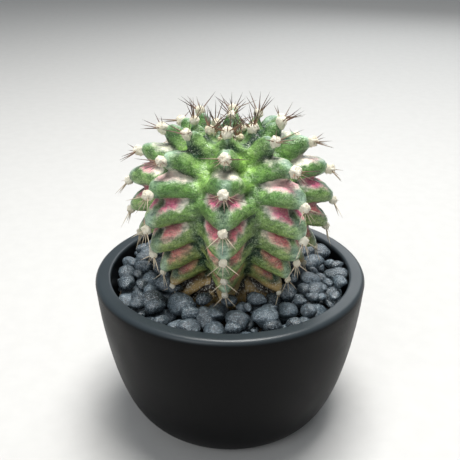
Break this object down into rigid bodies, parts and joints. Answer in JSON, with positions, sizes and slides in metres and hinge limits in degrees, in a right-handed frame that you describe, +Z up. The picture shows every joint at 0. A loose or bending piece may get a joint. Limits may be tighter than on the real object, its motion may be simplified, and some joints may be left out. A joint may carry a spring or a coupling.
{
  "type": "potted globe cactus",
  "caption": "Small ribbed globe cactus with woolly spine cushions along its ribs, in a matt black bowl pot topped with black gravel.",
  "frame": {"origin": "centre of the pot's flat foot, on the surface that it stands on", "axes": "+Z up, -Y towards the front rib that the camera faces, +X to the viewer's right"},
  "size_m": [0.08, 0.08, 0.0983],
  "materials": {
    "pot": "matte",
    "soil": "matte",
    "gravel": "satin",
    "stem": "satin",
    "areole": "matte"
  },
  "bodies": {
    "root": {"pot": "pot", "potting_soil": "soil", "gravel_bed": "gravel", "pebble_01": "gravel", "pebble_02": "gravel", "pebble_03": "gravel", "pebble_04": "gravel", "pebble_05": "gravel", "pebble_06": "gravel", "pebble_07": "gravel", "cactus_stem": "stem", "areole_01": "areole", "areole_02": "areole", "areole_03": "areole", "areole_04": "areole", "areole_05": "areole", "areole_06": "areole", "areole_07": "areole", "areole_08": "areole", "areole_09": "areole", "areole_10": "areole", "areole_11": "areole", "areole_12": "areole", "areole_13": "areole", "areole_14": "areole", "areole_15": "areole", "areole_16": "areole", "areole_17": "areole", "areole_18": "areole", "areole_19": "areole", "areole_20": "areole", "areole_21": "areole", "areole_22": "areole", "areole_23": "areole", "areole_24": "areole", "areole_25": "areole", "areole_26": "areole", "areole_27": "areole", "areole_28": "areole", "areole_29": "areole", "areole_30": "areole", "areole_31": "areole", "areole_32": "areole", "areole_33": "areole", "areole_34": "areole", "areole_35": "areole", "areole_36": "areole", "areole_37": "areole", "areole_38": "areole", "areole_39": "areole", "areole_40": "areole", "areole_41": "areole", "areole_42": "areole", "areole_43": "areole", "areole_44": "areole", "areole_45": "areole", "areole_46": "areole", "areole_47": "areole", "areole_48": "areole", "crown_wool": "areole"}
  },
  "joints": []
}
